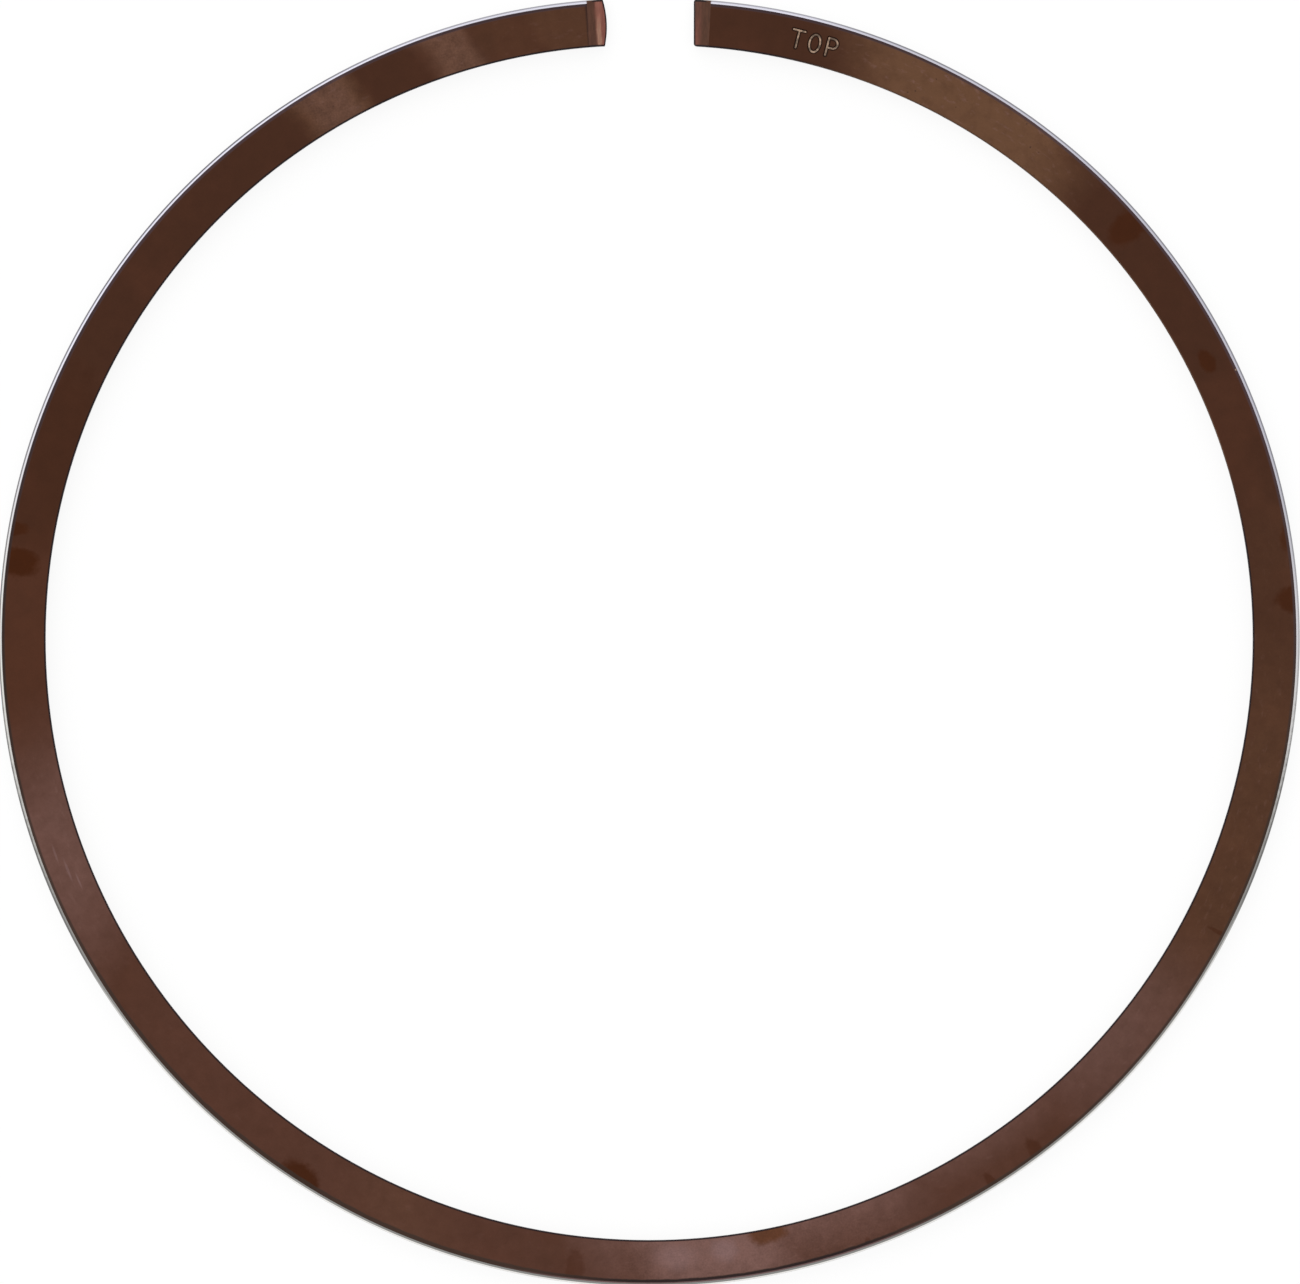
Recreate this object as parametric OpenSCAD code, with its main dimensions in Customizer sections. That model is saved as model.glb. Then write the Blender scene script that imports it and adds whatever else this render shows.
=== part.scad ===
// Piston ring for a small two-stroke engine, lying flat in its free state with the marked side up.
// The gap faces +Y and the back of the ring faces -Y. Lengths are in millimetres.

/* [Ring] */
// Cylinder bore that the closed ring runs in
bore_d = 76; // [50:0.5:110]
// Radial width, from the inner face to the crest of the running face
radial_w = 2.8; // [2:0.05:4.5]
// Height, from side face to side face
ring_h = 1.2; // [1:0.05:2.5]

/* [Gap] */
// Gap between the butt ends while the ring is free
free_gap = 5.2; // [3:0.1:9]
// Gap between the butt ends once the ring is closed in its bore
closed_gap = 0.6; // [0.2:0.05:1]

/* [Edges] */
// Bevel where the running face meets each side face
face_bevel = 0.2; // [0.05:0.01:0.3]
// How far the running face bulges between its bevels
barrel_rise = 0.02; // [0.01:0.005:0.05]
// Bevel along both edges of the inner face
inner_bevel = 0.05; // [0.02:0.01:0.15]

/* [Ends] */
// Length of the curved relief on the upper side of each end
relief_len = 0.95; // [0.5:0.05:2]
// Fall of the relief by the time it reaches the butt face
relief_drop = 0.6; // [0.4:0.05:0.8]
// Height of the relief's curve above its chord
relief_crown = 0.1; // [0.05:0.01:0.15]
// Bevel on both corners of the straight butt end, in plan
corner_bevel = 0.15; // [0.05:0.05:0.3]
// Bulge of the crowned butt end, in plan
butt_crown = 0.18; // [0.05:0.01:0.3]

/* [Hidden] */
$fn = 180;

// Overshoot of every cutting tool past the surface that it cuts
over = 1;

// A ring that presses evenly on its bore has a free shape whose curvature eases towards the back:
// at an angle a from the back it is (1 - ease * (1 + cos a)) / mid_r, and the gap opens by 3 PI ease mid_r.
mid_r = (bore_d - radial_w) / 2;
ease = (free_gap - closed_gap) / (3 * PI * mid_r);

// Each half of the ring is a chain of tangent arcs. In every quarter turn they meet along the axes and
// along 3-4-5 directions, and radii are whole micrometres, so that neighbours share one exact section.
joints = [0, atan2(3, 4), atan2(4, 3)];
arcs = 2 * len(joints);
micron = 0.001;
function quarter(i) = floor(i / len(joints));
function arc_from(i) = 90 * quarter(i) + joints[i % len(joints)];
function arc_turn(i) = arc_from(i + 1) - arc_from(i);
function snap(length) = round(length / micron) * micron;

// Mean radius of the free shape over an arc, and the arc's centre in plan, from that of the back arc
function arc_r(i) =
    let (swing = sin(arc_from(i + 1)) - sin(arc_from(i)))
    snap(mid_r * (1 + ease * (1 + swing / (arc_turn(i) * PI / 180))));
function arc_centre(i) =
    i == 0 ? [0, 0]
    : arc_centre(i - 1) + (arc_r(i - 1) - arc_r(i)) * [sin(arc_from(i)), -cos(arc_from(i))];

// An end lies half the free gap from the ring's centre line, at this angle round the last arc
last_r = arc_r(arcs - 1);
last_centre = arc_centre(arcs - 1);
butt_angle = acos((free_gap / 2 - last_centre[0]) / last_r);

// Height in plan of a wall of the last arc, which lies reach outside mid width, at a distance x from the centre line
function wall_y(reach, x) =
    last_centre[1] + sqrt(pow(last_r + reach, 2) - pow(x - last_centre[0], 2));

// Reach of the ring in plan, from the running face at the back to the outer corner of its straight end
half_w = radial_w / 2;
back_y = -arc_r(0) - half_w;
end_y = wall_y(half_w, free_gap / 2 + corner_bevel);
mid_y = (back_y + end_y) / 2;

// Radius of an arc that rises by a given amount over a given chord
function arc_on(chord, rise) = (chord * chord / 4 + rise * rise) / (2 * rise);

// The running face is one arc between its bevels
barrel_r = arc_on(ring_h - 2 * face_bevel, barrel_rise);
butt_r = arc_on(radial_w, butt_crown);

// True section of the ring: x runs outward from the middle of the radial width.
// The bevels of the running face run on to a point, and the barrel's arc cuts them back.
module section() {
    side_end = half_w - barrel_rise - face_bevel;
    intersection() {
        polygon([
            [inner_bevel - half_w, 0],
            [side_end, 0],
            [side_end + ring_h / 2, ring_h / 2],
            [side_end, ring_h],
            [inner_bevel - half_w, ring_h],
            [-half_w, ring_h - inner_bevel],
            [-half_w, inner_bevel]
        ]);
        translate([half_w - barrel_r, ring_h / 2])
            circle(r = barrel_r);
    }
}

// One half of the ring before its end is cut: the arcs from the back round to the top
module uncut_half() {
    for (i = [0 : arcs - 1])
        translate(arc_centre(i))
            rotate(90 * quarter(i) - 90)
                rotate_extrude(start = joints[i % len(joints)], angle = arc_turn(i))
                    translate([arc_r(i), 0])
                        section();
}

// Takes what follows to the butt face: x outward from mid width, y onward past the end
module at_butt() {
    translate(last_centre)
        rotate(butt_angle)
            translate([last_r, 0, 0])
                children();
}

// Everything past a straight butt face with bevelled corners, sawn parallel to the ring's centre line
module straight_butt_cut() {
    butt_x = free_gap / 2;
    inner_corner = wall_y(-half_w, butt_x) + corner_bevel;
    outer_corner = wall_y(half_w, butt_x) - corner_bevel;
    spread = corner_bevel + over;
    translate([0, 0, -over])
        linear_extrude(ring_h + 2 * over)
            polygon([
                [butt_x, inner_corner],
                [butt_x, outer_corner],
                [butt_x + spread, outer_corner + spread],
                [-butt_x, outer_corner + spread],
                [-butt_x, inner_corner - spread],
                [butt_x + spread, inner_corner - spread]
            ]);
}

// Everything past a butt face that is crowned in plan
module crowned_butt_cut() {
    width = radial_w + 2 * over;
    translate([0, 0, -over])
        linear_extrude(ring_h + 2 * over)
            difference() {
                translate([-width / 2, -over])
                    square([width, free_gap + over]);
                translate([0, -butt_r])
                    circle(r = butt_r);
            }
}

// The curved relief that clears the locating pin: it falls from a crease at length to the butt face
module relief_cut(length) {
    chord = norm([length, relief_drop]);
    relief_r = arc_on(chord, relief_crown);
    // The relief's axis lies square to its chord, under the middle of it
    depth = relief_r - relief_crown;
    axis_y = -length / 2 - depth * relief_drop / chord;
    axis_z = ring_h - relief_drop / 2 - depth * length / chord;
    width = radial_w + 2 * over;
    translate([-width / 2, 0, 0])
        rotate([90, 0, 90])
            linear_extrude(width)
                translate([axis_y, axis_z])
                    difference() {
                        square([relief_r + free_gap, relief_r + over]);
                        circle(r = relief_r);
                    }
}

// Right half of the ring, ending in the straight butt
module straight_half() {
    difference() {
        uncut_half();
        straight_butt_cut();
        at_butt()
            relief_cut(relief_len);
    }
}

// The other half, drawn on the right too, ending in the crowned butt
module crowned_half() {
    difference() {
        uncut_half();
        at_butt() {
            crowned_butt_cut();
            relief_cut(relief_len + butt_crown);
        }
    }
}

module piston_ring() {
    color([0.29, 0.19, 0.14])
        translate([0, -mid_y, 0]) {
            straight_half();
            mirror([1, 0, 0])
                crowned_half();
        }
}

piston_ring();
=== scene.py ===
"""Piston ring: models it over its CAD frame, on a white table under a camera that looks down."""

import math
from collections import namedtuple
from functools import cached_property, reduce
from types import SimpleNamespace

import bmesh
import bpy
from bpy.props import FloatProperty, FloatVectorProperty, PointerProperty
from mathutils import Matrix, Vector


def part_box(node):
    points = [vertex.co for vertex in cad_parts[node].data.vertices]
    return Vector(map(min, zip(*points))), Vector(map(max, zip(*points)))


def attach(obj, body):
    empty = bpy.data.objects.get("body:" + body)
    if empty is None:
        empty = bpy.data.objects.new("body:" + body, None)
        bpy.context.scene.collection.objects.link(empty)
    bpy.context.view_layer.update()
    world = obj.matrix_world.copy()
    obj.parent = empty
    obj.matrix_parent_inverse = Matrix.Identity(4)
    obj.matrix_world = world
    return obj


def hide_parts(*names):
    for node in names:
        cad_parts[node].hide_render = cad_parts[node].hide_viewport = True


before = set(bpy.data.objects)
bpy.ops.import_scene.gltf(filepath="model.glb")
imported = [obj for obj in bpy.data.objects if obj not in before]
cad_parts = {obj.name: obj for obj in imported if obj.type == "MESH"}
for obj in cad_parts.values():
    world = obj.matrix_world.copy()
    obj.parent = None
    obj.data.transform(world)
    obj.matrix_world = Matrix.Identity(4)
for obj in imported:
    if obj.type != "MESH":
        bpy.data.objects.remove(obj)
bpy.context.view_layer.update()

bl_info = {
    "name": "Piston Ring",
    "version": (1, 0, 0),
    "blender": (4, 5, 0),
    "location": "View3D > Sidebar > Piston Ring",
    "description": "Models a split piston ring and sets a table, light and camera for it",
    "category": "Object",
}

NODE = "piston_ring"
BODY = "root"

# The mesh is modelled in millimetres and brought to metres when it is finished
MM = 0.001
# Two points closer than this are one point, in millimetres
TOUCH = 0.0001
# Overshoot of every cutter past the surface that it cuts, in millimetres
OVER = 1.0
# Faces that meet at less than this angle are shaded smooth
SMOOTH_BELOW = math.radians(11)

# Stage, in metres and watts. The table lies a little below the ring, so that the two share no plane.
TABLE_SIZE = 3.0
TABLE_DROP = 0.00001
LAMP_PLACE = (-0.55, 0.6, 0.7)
LAMP_SIZE = 0.8
LAMP_POWER = 0.9
SENSOR_MM = 36.0

ring_low, ring_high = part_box(NODE)


def length(name, description, default_mm):
    """A length that a user would change. Blender keeps it in metres."""
    return FloatProperty(
        name=name,
        description=description,
        default=default_mm * MM,
        min=0.0,
        precision=5,
        unit="LENGTH",
    )


def colour(name, description, default):
    """A colour that a user would change, in linear light."""
    return FloatVectorProperty(
        name=name,
        description=description,
        default=default,
        min=0.0,
        max=1.0,
        size=3,
        subtype="COLOR",
    )


class RingSizes(bpy.types.PropertyGroup):
    """Driving sizes of the ring. All but those of the letters are in its CAD source too."""

    bore_d: length("Bore", "Cylinder bore that the closed ring runs in", 76.0)
    radial_w: length("Radial width", "From the inner face to the crest of the running face", 2.8)
    ring_h: length("Height", "From side face to side face", (ring_high[2] - ring_low[2]) / MM)
    free_gap: length("Free gap", "Between the butt ends while the ring is free", 5.2)
    closed_gap: length("Closed gap", "Between the butt ends once the ring is in its bore", 0.6)
    face_bevel: length("Running face bevel", "Where the running face meets each side", 0.2)
    barrel_rise: length("Barrel rise", "Bulge of the running face between its bevels", 0.02)
    inner_bevel: length("Inner bevel", "Along both edges of the inner face", 0.05)
    relief_len: length("Relief length", "Curved relief on the upper side of each end", 0.95)
    relief_drop: length("Relief drop", "Fall of the relief where it reaches the butt", 0.6)
    relief_crown: length("Relief crown", "Height of the relief's curve above its chord", 0.1)
    corner: length("Butt corner", "Rounding of the straight butt's corners in plan", 0.15)
    butt_crown: length("Butt crown", "Bulge of the crowned butt in plan", 0.18)
    letter_h: length("Letter height", "Height of the cut letters, between stroke centres", 1.05)
    stroke_floor: length("Stroke floor", "Width of a cut stroke at its floor", 0.10)
    stroke_mouth: length("Stroke mouth", "Width of a cut stroke at the side face", 0.25)
    stroke_depth: length("Stroke depth", "Depth of the cut letters", 0.06)


class RingColours(bpy.types.PropertyGroup):
    """Tones of the ring's finishes."""

    oxide: colour("Oxide", "Common tone of the brown oxide on the sides", (0.062, 0.0226, 0.0114))
    oxide_warm: colour("Warm oxide", "Redder tone that clouds the common one", (0.083, 0.0290, 0.0148))
    # Its lighter olive tone is partly wear and partly painted sheen
    olive_wear_and_sheen: colour("Worn oxide", "Greener tone where the oxide is thin", (0.138, 0.0655, 0.0345))
    # Its pinker tone is painted sheen, and it also colours pale flecks and scratches
    pink_sheen_and_flecks: colour("Dull oxide", "Pinker tone where the oxide is dull", (0.203, 0.1060, 0.0890))
    # This tone marks dried oil stains, and paints the letters' walls dark as shade
    oil_stain_and_wall_shade: colour("Oxide stain", "Dried oil marks and letters' walls", (0.054, 0.0125, 0.0018))
    # Pale spots and streaks of the painted sheen
    pale_sheen_tone: colour("Bloom", "Pale tone of spots in the dull oxide", (0.270, 0.1650, 0.1620))
    oxide_rust: colour("Rust", "Orange tone of faint rusty marks", (0.120, 0.0440, 0.0200))
    # Its dark tone marks pits, and is painted as shade along the sharp edges
    pits_and_edge_shade: colour("Edge", "Dark line along the sharp edges", (0.014, 0.0080, 0.0110))
    edge_grey: colour("Grey edge", "Line where the oxide meets the plating", (0.050, 0.0330, 0.0250))
    edge_violet: colour("Violet edge", "That line on the gap's half", (0.078, 0.0500, 0.0570))
    chrome: colour("Chrome", "Plating on the running face and its bevels", (0.885, 0.873, 0.99))
    chrome_warm: colour("Warm chrome", "Plating on the half away from the gap", (0.94, 0.925, 0.89))
    bore_side: colour("Inner face", "Turned inner face", (0.036, 0.024, 0.020))
    bare_end: colour("Filed end", "Copper tone of the crowned end's relief", (0.285, 0.098, 0.072))
    # A painted highlight across the copper relief
    end_highlight: colour("Pale filed end", "Paler streak in that relief", (0.42, 0.220, 0.150))
    # The straight end's own duller tone, also painted as shade beside the copper end's crease
    dull_end_and_crease_shade: colour("Dull end", "Straight end's relief and bare bevels", (0.092, 0.0395, 0.0235))
    letter: colour("Letters", "Bright metal in the cut letters and the chip", (0.37, 0.255, 0.178))


class StageSettings(bpy.types.PropertyGroup):
    """Place of the camera over the ring."""

    camera_height: length("Camera height", "Of the camera over the table", 1200.0)
    view_width: length("View width", "Of what the picture takes in, at the ring's upper side", 77.607)
    aim_x: length("Aim across", "Picture centre, to the right of the ring's centre", 0.048)
    aim_y: length("Aim up", "Picture centre, above the ring's centre", 0.075)
    roll: FloatProperty(
        name="Roll",
        description="Turn of the camera about its line of sight",
        default=math.radians(0.1),
        subtype="ANGLE",
    )


Arc = namedtuple("Arc", "centre radius start end")


def in_mm(sizes):
    """The sizes as plain numbers in millimetres."""
    return SimpleNamespace(**{key: getattr(sizes, key) / MM for key in RingSizes.__annotations__})


def arc_radius(chord, rise):
    """Radius of an arc that rises by a given amount over its chord."""
    return (chord ** 2 / 4 + rise ** 2) / (2 * rise)


def butt_radius(ring):
    """Radius of the crowned butt in plan."""
    return arc_radius(ring.radial_w, ring.butt_crown)


class FreeShape:
    """Plan of the free ring: tangent arcs from the back to the right butt. The left is its mirror.

    A ring that presses evenly on its bore has a curvature that eases towards the back. Angles run from
    the back, anticlockwise. The arcs meet on the axes and on 3-4-5 directions, as in the CAD source.
    """

    def __init__(self, ring):
        self.half_w = ring.radial_w / 2
        mid_r = (ring.bore_d - ring.radial_w) / 2
        ease = (ring.free_gap - ring.closed_gap) / (3 * math.pi * mid_r)
        joints = (0.0, math.atan2(3, 4), math.atan2(4, 3))
        starts = [quarter * math.pi / 2 + joint for quarter in range(2) for joint in joints]
        ends = starts[1:] + [math.pi]
        chain = []
        for start, end in zip(starts, ends):
            swing = (math.sin(end) - math.sin(start)) / (end - start)
            radius = mid_r * (1 + ease * (1 + swing))
            centre = Vector((0, 0, 0))
            if chain:
                centre = chain[-1].centre + (chain[-1].radius - radius) * self.outward(start)
            chain.append(Arc(centre, radius, start, end))
        last = chain[-1]
        self.butt = math.pi / 2 + math.acos((ring.free_gap / 2 - last.centre.x) / last.radius)
        chain[-1] = last._replace(end=self.butt)
        self.arcs = chain
        self.saw_x = ring.free_gap / 2
        back_y = -chain[0].radius - self.half_w
        end_y = self.wall_y(self.half_w, self.saw_x + ring.corner)
        middle = Vector((0, (back_y + end_y) / 2, 0))
        self.arcs = [arc._replace(centre=arc.centre - middle) for arc in chain]

    def wall_y(self, reach, x):
        """Y of a wall of the last arc, which lies reach outside mid width, x from the centre line."""
        last = self.arcs[-1]
        return last.centre.y + math.sqrt((last.radius + reach) ** 2 - (x - last.centre.x) ** 2)

    @staticmethod
    def outward(angle):
        """Direction away from the ring's centre at an angle from the back."""
        return Vector((math.sin(angle), -math.cos(angle), 0))

    def back(self):
        """Middle of the radial width at the back of the ring."""
        return self.arcs[0].centre + self.arcs[0].radius * self.outward(0)

    def butt_point(self, side):
        """Middle of the radial width at a butt. side is 1 on the right and -1 on the left."""
        last = self.arcs[-1]
        point = last.centre + last.radius * self.outward(self.butt)
        return Vector((side * point.x, point.y, 0))

    def butt_turn(self, side):
        """Turn about the vertical that points a cutter's Y axis onward past a butt."""
        return side * (self.butt - math.pi / 2)

    def measure(self, x, y):
        """Where a point lies: out from the inner face, and back along the ring from its butt."""
        for arc in self.arcs:
            across = abs(x) - arc.centre.x
            along = y - arc.centre.y
            angle = math.atan2(across, -along)
            if angle <= arc.end:
                break
        out = math.hypot(across, along) - arc.radius + self.half_w
        return out, (self.butt - angle) * arc.radius


def work_on(piece):
    """Makes a piece the only selected object."""
    bpy.ops.object.select_all(action="DESELECT")
    piece.select_set(True)
    bpy.context.view_layer.objects.active = piece


def pick_points(piece, test):
    """Selects, in edit mode, the points whose place passes a test and the edges between them."""
    bpy.ops.mesh.select_all(action="DESELECT")
    bpy.ops.mesh.select_mode(type="VERT")
    mesh = bmesh.from_edit_mesh(piece.data)
    for point in mesh.verts:
        point.select_set(test(point.co))
    mesh.select_flush_mode()
    bmesh.update_edit_mesh(piece.data)


def merge_touching():
    """Merges points that touch, in edit mode, and selects all that is left."""
    bpy.ops.mesh.select_all(action="SELECT")
    bpy.ops.mesh.remove_doubles(threshold=TOUCH)
    bpy.ops.mesh.select_all(action="SELECT")


def outward_normals():
    """Turns every face of the mesh in edit mode outwards."""
    bpy.ops.mesh.select_all(action="SELECT")
    bpy.ops.mesh.normals_make_consistent(inside=False)


class Pen:
    """Draws an outline on a plane in edit mode: a point is extruded along lines or spun along arcs."""

    def __init__(self, name, start, origin=(0, 0, 0), right=(1, 0, 0), up=(0, 1, 0)):
        self.origin = Vector(origin)
        self.right = Vector(right)
        self.up = Vector(up)
        self.at = Vector(start)
        bpy.ops.object.select_all(action="DESELECT")
        bpy.ops.mesh.primitive_plane_add(size=1)
        self.piece = bpy.context.object
        self.piece.name = name
        bpy.ops.object.mode_set(mode="EDIT")
        bpy.ops.mesh.select_all(action="SELECT")
        bpy.ops.mesh.merge(type="CENTER")
        bpy.ops.transform.translate(value=self.place(self.at))

    def place(self, flat):
        """The point in space for a point on the plane."""
        return self.origin + flat[0] * self.right + flat[1] * self.up

    def line_to(self, *flat):
        """Draws a straight edge to a point on the plane."""
        goal = Vector(flat)
        step = self.place(goal) - self.place(self.at)
        bpy.ops.mesh.extrude_vertices_move(TRANSFORM_OT_translate={"value": step})
        self.at = goal

    def arc_to(self, *flat, sweep, steps):
        """Draws an arc to a point on the plane. sweep is its turn, anticlockwise if above 0."""
        goal = Vector(flat)
        chord = goal - self.at
        left = Vector((-chord.y, chord.x))
        centre = (self.at + goal) / 2 + left / (2 * math.tan(sweep / 2))
        # The spin operator turns clockwise about its axis
        axis = self.up.cross(self.right)
        bpy.ops.mesh.spin(steps=steps, angle=sweep, center=self.place(centre), axis=axis)
        self.at = goal

    def solid(self, depth):
        """Closes the outline, fills it and extrudes it into a solid along a vector."""
        merge_touching()
        bpy.ops.mesh.edge_face_add()
        bpy.ops.mesh.extrude_region_move(TRANSFORM_OT_translate={"value": depth})
        outward_normals()
        bpy.ops.object.mode_set(mode="OBJECT")
        return self.piece


def cut(piece, cutter):
    """Takes a cutter out of a piece. The faces that it leaves keep the cutter's finish."""
    work_on(piece)
    bpy.ops.object.modifier_add(type="BOOLEAN")
    boolean = piece.modifiers[-1]
    boolean.operation = "DIFFERENCE"
    boolean.solver = "EXACT"
    boolean.material_mode = "TRANSFER"
    boolean.object = cutter
    bpy.ops.object.modifier_apply(modifier=boolean.name)
    bpy.data.objects.remove(cutter, do_unlink=True)
    if not piece.data.polygons:
        raise RuntimeError("A cut left nothing of the ring")


def draw_section(ring, shape):
    """Draws the ring's section at the back, with rounded bevels and a barrelled running face."""
    bevel_sweep = math.radians(45)
    bevel_steps = 6
    barrel_steps = 6
    half_w = ring.radial_w / 2
    bevel_start = half_w - ring.barrel_rise - ring.face_bevel
    bevel_end = half_w - ring.barrel_rise
    inner_start = ring.inner_bevel - half_w
    barrel_half = ring.ring_h / 2 - ring.face_bevel
    barrel_sweep = 4 * math.atan2(ring.barrel_rise, barrel_half)
    pen = Pen("piston_ring_finish", (inner_start, 0), shape.back(), shape.outward(0), (0, 0, 1))
    pen.line_to(bevel_start, 0)
    pen.arc_to(bevel_end, ring.face_bevel, sweep=bevel_sweep, steps=bevel_steps)
    pen.arc_to(bevel_end, ring.ring_h - ring.face_bevel, sweep=barrel_sweep, steps=barrel_steps)
    pen.arc_to(bevel_start, ring.ring_h, sweep=bevel_sweep, steps=bevel_steps)
    pen.line_to(inner_start, ring.ring_h)
    pen.line_to(-half_w, ring.ring_h - ring.inner_bevel)
    pen.line_to(-half_w, ring.inner_bevel)
    pen.line_to(inner_start, 0)
    merge_touching()
    return pen.piece


def sweep_section(piece, shape):
    """Spins the section along the arcs of each half, a little past its butt, and caps the ends."""
    step_angle = math.radians(1.25)
    for side in (1, -1):
        pick_points(piece, lambda point: abs(point.x) < TOUCH and point.y < 0)
        for arc in shape.arcs:
            turn = arc.end - arc.start
            if arc is shape.arcs[-1]:
                turn += OVER / arc.radius
            centre = Vector((side * arc.centre.x, arc.centre.y, 0))
            steps = max(1, round(turn / step_angle))
            # The spin operator turns clockwise about its axis
            bpy.ops.mesh.spin(steps=steps, angle=-side * turn, center=centre, axis=(0, 0, 1))
        bpy.ops.mesh.edge_face_add()
    merge_touching()
    outward_normals()
    bpy.ops.object.mode_set(mode="OBJECT")


def at_butt(cutter, shape, side):
    """Takes a cutter from the origin to a butt: its Y axis then points onward past the end."""
    cutter.location = shape.butt_point(side)
    cutter.rotation_euler.z = shape.butt_turn(side)
    return cutter


def straight_butt_cutter(ring, shape):
    """Everything past the straight butt, sawn parallel to the centre line with rounded corners."""
    # The tongue that it leaves is a little wider than the ring, so that no two walls lie in one plane
    slack = 0.005
    # Radius of a corner over the bevel that stands for it in the CAD source
    corner_share = 1.2
    corner_steps = 9
    far = ring.free_gap / 2
    inner_y = shape.wall_y(-shape.half_w, shape.saw_x)
    outer_y = shape.wall_y(shape.half_w, shape.saw_x)
    corner_r = corner_share * ring.corner + slack
    tongue = (outer_y - inner_y) / 2 + slack
    shoulder = tongue - corner_r
    wide = tongue + OVER
    quarter_turn = math.pi / 2
    pen = Pen("straight_butt_cutter", (-wide, far), (0, 0, -OVER))
    pen.line_to(-wide, -corner_r - OVER)
    pen.line_to(-tongue, -corner_r)
    pen.arc_to(-shoulder, 0, sweep=-quarter_turn, steps=corner_steps)
    pen.line_to(shoulder, 0)
    pen.arc_to(tongue, -corner_r, sweep=-quarter_turn, steps=corner_steps)
    pen.line_to(wide, -corner_r - OVER)
    pen.line_to(wide, far)
    pen.line_to(-wide, far)
    cutter = pen.solid((0, 0, ring.ring_h + 2 * OVER))
    cutter.location = (shape.saw_x, (inner_y + outer_y) / 2, 0)
    cutter.rotation_euler.z = quarter_turn
    return cutter


def crowned_butt_cutter(ring, shape):
    """Everything past the butt that bulges in plan."""
    crown_steps = 18
    far = ring.free_gap / 2
    crown_r = butt_radius(ring)
    wide = shape.half_w + OVER / 2
    drop = crown_r - math.sqrt(crown_r ** 2 - wide ** 2)
    crown_sweep = 2 * math.asin(wide / crown_r)
    pen = Pen("crowned_butt_cutter", (-wide, far), (0, 0, -OVER))
    pen.line_to(-wide, -drop)
    pen.arc_to(wide, -drop, sweep=-crown_sweep, steps=crown_steps)
    pen.line_to(wide, far)
    pen.line_to(-wide, far)
    return at_butt(pen.solid((0, 0, ring.ring_h + 2 * OVER)), shape, -1)


def relief_cutter(ring, run):
    """What lies over the curved relief of an end, which falls from a crease at run to the butt."""
    relief_steps = 12
    past_butt = math.radians(12)
    chord = math.hypot(run, ring.relief_drop)
    radius = arc_radius(chord, ring.relief_crown)
    depth = radius - ring.relief_crown
    axis_y = -run / 2 - depth * ring.relief_drop / chord
    axis_z = ring.ring_h - ring.relief_drop / 2 - depth * run / chord
    sweep = past_butt + math.atan2(-axis_y, ring.ring_h - ring.relief_drop - axis_z)
    end_y = axis_y + radius * math.sin(sweep)
    end_z = axis_z + radius * math.cos(sweep)
    wide = ring.radial_w / 2 + OVER
    top = ring.ring_h + OVER
    pen = Pen("relief_cutter", (axis_y, top), (-wide, 0, 0), (0, 1, 0), (0, 0, 1))
    pen.line_to(axis_y, axis_z + radius)
    pen.arc_to(end_y, end_z, sweep=-sweep, steps=relief_steps)
    pen.line_to(end_y + OVER, end_z)
    pen.line_to(end_y + OVER, top)
    pen.line_to(axis_y, top)
    return pen.solid((2 * wide, 0, 0))


# Middle of the letters on the ring, in millimetres, and the turn of their line. Each letter is drawn
# with X along that line and Y towards the outside of the ring.
LETTERS_AT = (9.82, 35.83)
LETTERS_TURN = math.radians(-14.1)
# Height of a stroke's cutter over the stroke's depth: it stands a little proud of the side face
STROKE_OVER = 1.25


def finish_stroke(cutter, ring, at, turn, finishes, sunk=0.0):
    """Puts a stroke's cutter in the side face, with bright metal on its floor and walls painted dark
    as shade.

    A stroke that crosses another is sunk a little below it, so that no two floors lie in one plane.
    """
    cutter.data.materials.append(finishes["letter_floor"])
    cutter.data.materials.append(finishes["letter_wall_shade"])
    faces_down = -0.9
    for face in cutter.data.polygons:
        face.material_index = 0 if face.normal.z < faces_down else 1
    cosine = math.cos(LETTERS_TURN)
    sine = math.sin(LETTERS_TURN)
    cutter.location = (
        LETTERS_AT[0] + at[0] * cosine - at[1] * sine,
        LETTERS_AT[1] + at[0] * sine + at[1] * cosine,
        ring.ring_h - ring.stroke_depth - sunk,
    )
    cutter.rotation_euler.z = LETTERS_TURN + turn
    return cutter


def mouth_slope(ring):
    """How fast a stroke widens on each side with height above its floor."""
    return (ring.stroke_mouth - ring.stroke_floor) / 2 / ring.stroke_depth


def straight_stroke(ring, at, turn, run, finishes, sunk=0.0):
    """Cutter of one straight stroke with round ends: a tapered disc whose far half is drawn out."""
    tall = STROKE_OVER * ring.stroke_depth
    floor_r = ring.stroke_floor / 2
    disc_sides = 24
    bpy.ops.object.select_all(action="DESELECT")
    bpy.ops.mesh.primitive_cone_add(
        vertices=disc_sides,
        radius1=floor_r,
        radius2=floor_r + tall * mouth_slope(ring),
        depth=tall,
    )
    cutter = bpy.context.object
    bpy.ops.object.mode_set(mode="EDIT")
    bpy.ops.mesh.select_all(action="SELECT")
    bpy.ops.transform.translate(value=(0, 0, tall / 2))
    pick_points(cutter, lambda point: point.x > TOUCH)
    bpy.ops.transform.translate(value=(run, 0, 0))
    outward_normals()
    bpy.ops.object.mode_set(mode="OBJECT")
    return finish_stroke(cutter, ring, at, turn, finishes, sunk)


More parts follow.
